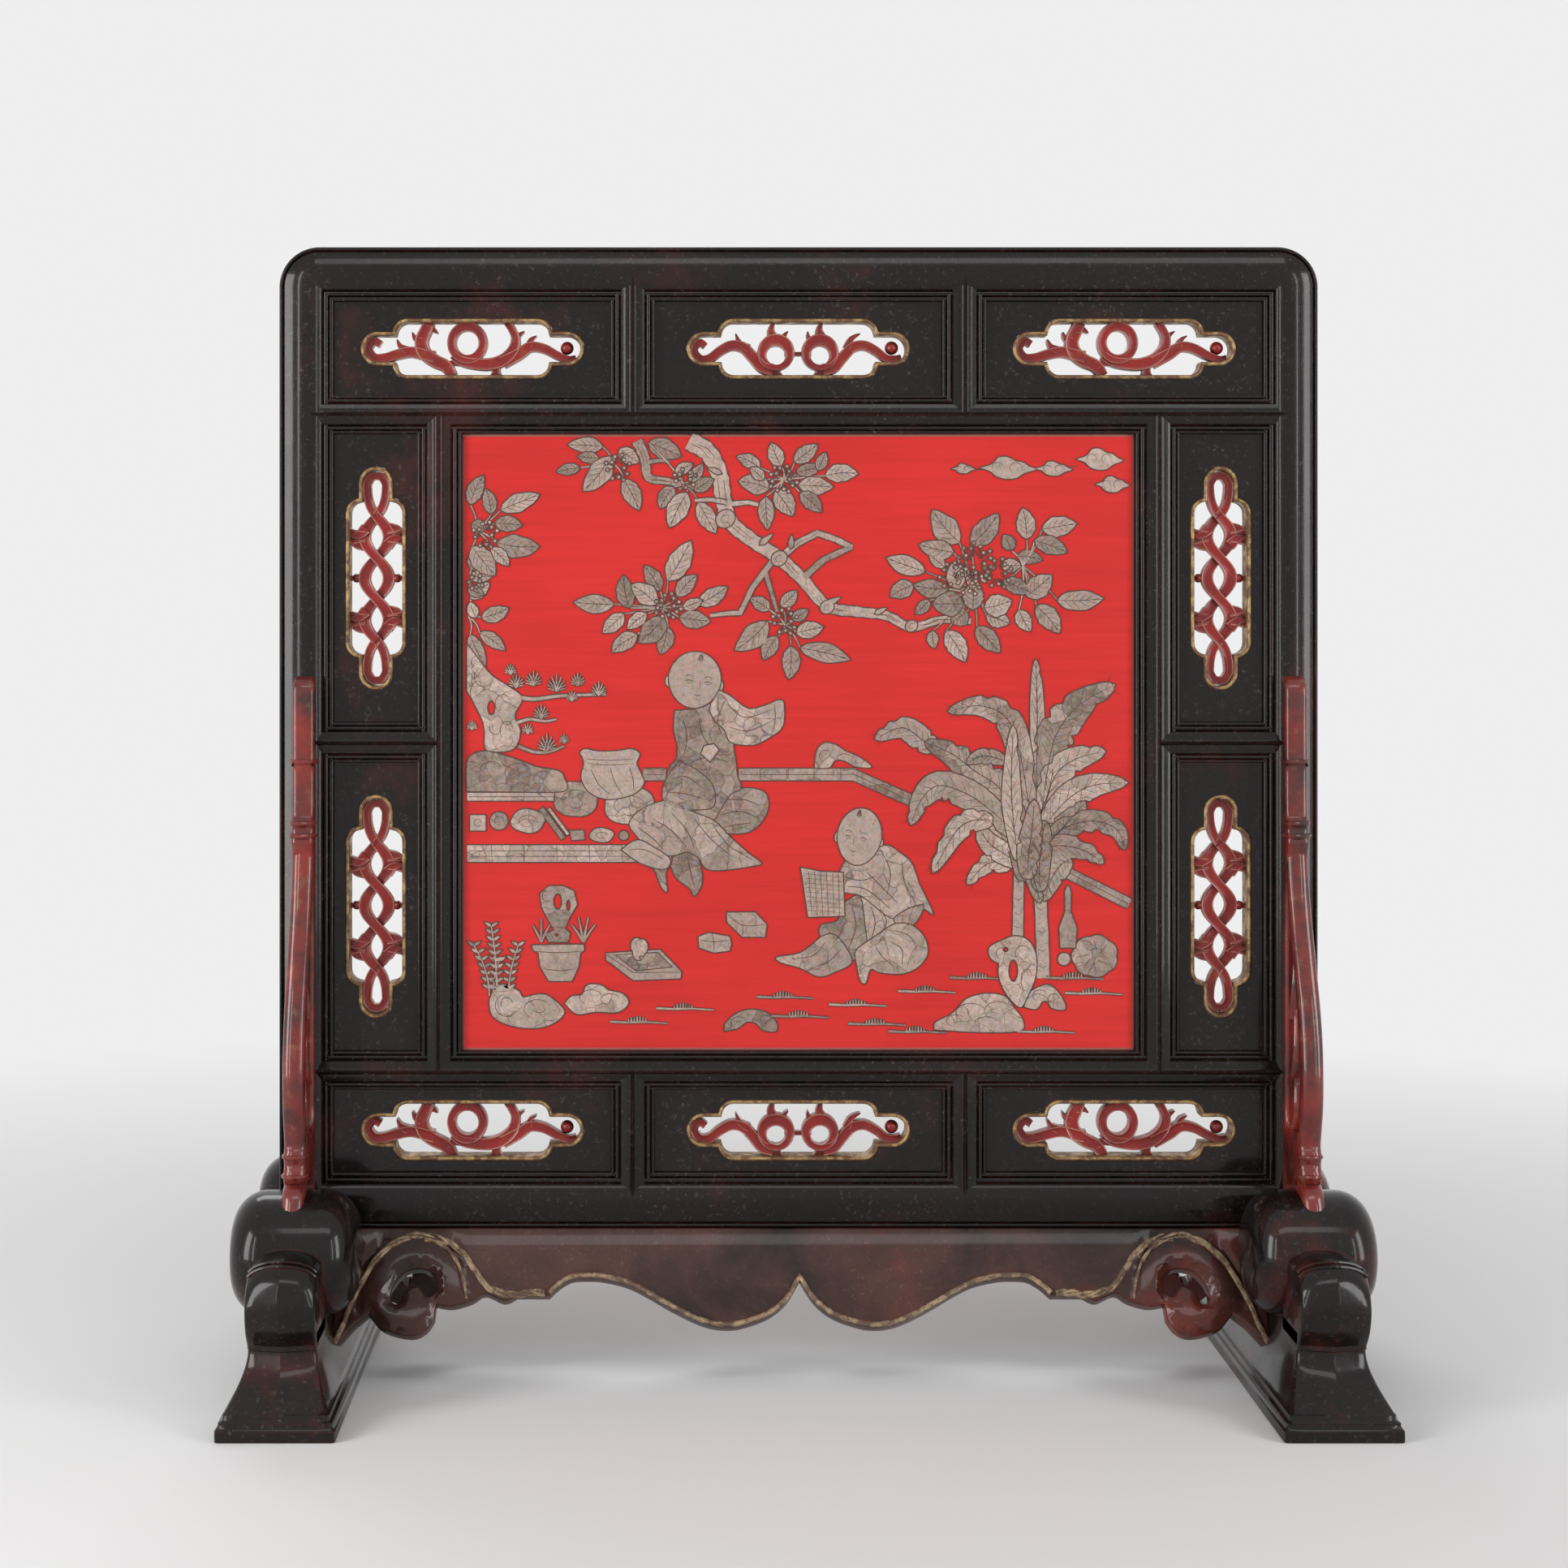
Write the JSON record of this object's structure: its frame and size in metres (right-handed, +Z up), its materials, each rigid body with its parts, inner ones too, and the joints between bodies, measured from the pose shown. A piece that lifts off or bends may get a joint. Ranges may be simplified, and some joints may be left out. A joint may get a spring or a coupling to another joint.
{
  "type": "table screen",
  "caption": "Table screen: a red panel with shell inlay in a moulded black frame with carved openwork, on drum feet with aprons and standing spandrels.",
  "frame": {"origin": "on the floor, under the middle of the screen", "axes": "+X along the width to the right as seen from the front, -Y the front with the inlaid face, +Z up"},
  "size_m": [0.575, 0.244, 0.5869],
  "materials": {
    "black_lacquer": "glossy brown-black lacquer on wood, worn red-brown at edges",
    "red_lacquer": "satin red lacquer with faint streaks",
    "scroll_lacquer": "satin red lacquer on carved wood, dark in the recesses",
    "spandrel_lacquer": "worn red-brown lacquer with traces of gilding",
    "gilding": "worn dull gilding on wood",
    "shell": "polished mother-of-pearl, engraved with dark lines, iridescent"
  },
  "bodies": {
    "root": {"stile_left": "black_lacquer", "stile_right": "black_lacquer", "top_rail": "black_lacquer", "bottom_rail": "black_lacquer", "inner_rail_upper": "black_lacquer", "inner_rail_lower": "black_lacquer", "inner_stile_left": "black_lacquer", "inner_stile_right": "black_lacquer", "top_divider_left": "black_lacquer", "top_divider_right": "black_lacquer", "bottom_divider_left": "black_lacquer", "bottom_divider_right": "black_lacquer", "side_divider_left": "black_lacquer", "side_divider_right": "black_lacquer", "board_top_left": "black_lacquer", "board_top_middle": "black_lacquer", "board_top_right": "black_lacquer", "board_bottom_left": "black_lacquer", "board_bottom_middle": "black_lacquer", "board_bottom_right": "black_lacquer", "board_left_upper": "black_lacquer", "board_left_lower": "black_lacquer", "board_right_upper": "black_lacquer", "board_right_lower": "black_lacquer", "scroll_top_left": "scroll_lacquer", "scroll_top_middle": "scroll_lacquer", "scroll_top_right": "scroll_lacquer", "scroll_bottom_left": "scroll_lacquer", "scroll_bottom_middle": "scroll_lacquer", "scroll_bottom_right": "scroll_lacquer", "scroll_left_upper": "scroll_lacquer", "scroll_left_lower": "scroll_lacquer", "scroll_right_upper": "scroll_lacquer", "scroll_right_lower": "scroll_lacquer", "bead_top_left": "gilding", "bead_top_middle": "gilding", "bead_top_right": "gilding", "bead_bottom_left": "gilding", "bead_bottom_middle": "gilding", "bead_bottom_right": "gilding", "bead_left_upper": "gilding", "bead_left_lower": "gilding", "bead_right_upper": "gilding", "bead_right_lower": "gilding", "red_panel": "red_lacquer", "shell_branches": "shell", "shell_leaves": "shell", "shell_boys": "shell", "shell_banana": "shell", "shell_garden": "shell", "foot_left": "black_lacquer", "foot_right": "black_lacquer", "apron_front": "black_lacquer", "apron_back": "black_lacquer", "spandrel_front_left": "spandrel_lacquer", "spandrel_front_right": "spandrel_lacquer", "spandrel_back_left": "spandrel_lacquer", "spandrel_back_right": "spandrel_lacquer"}
  },
  "joints": []
}
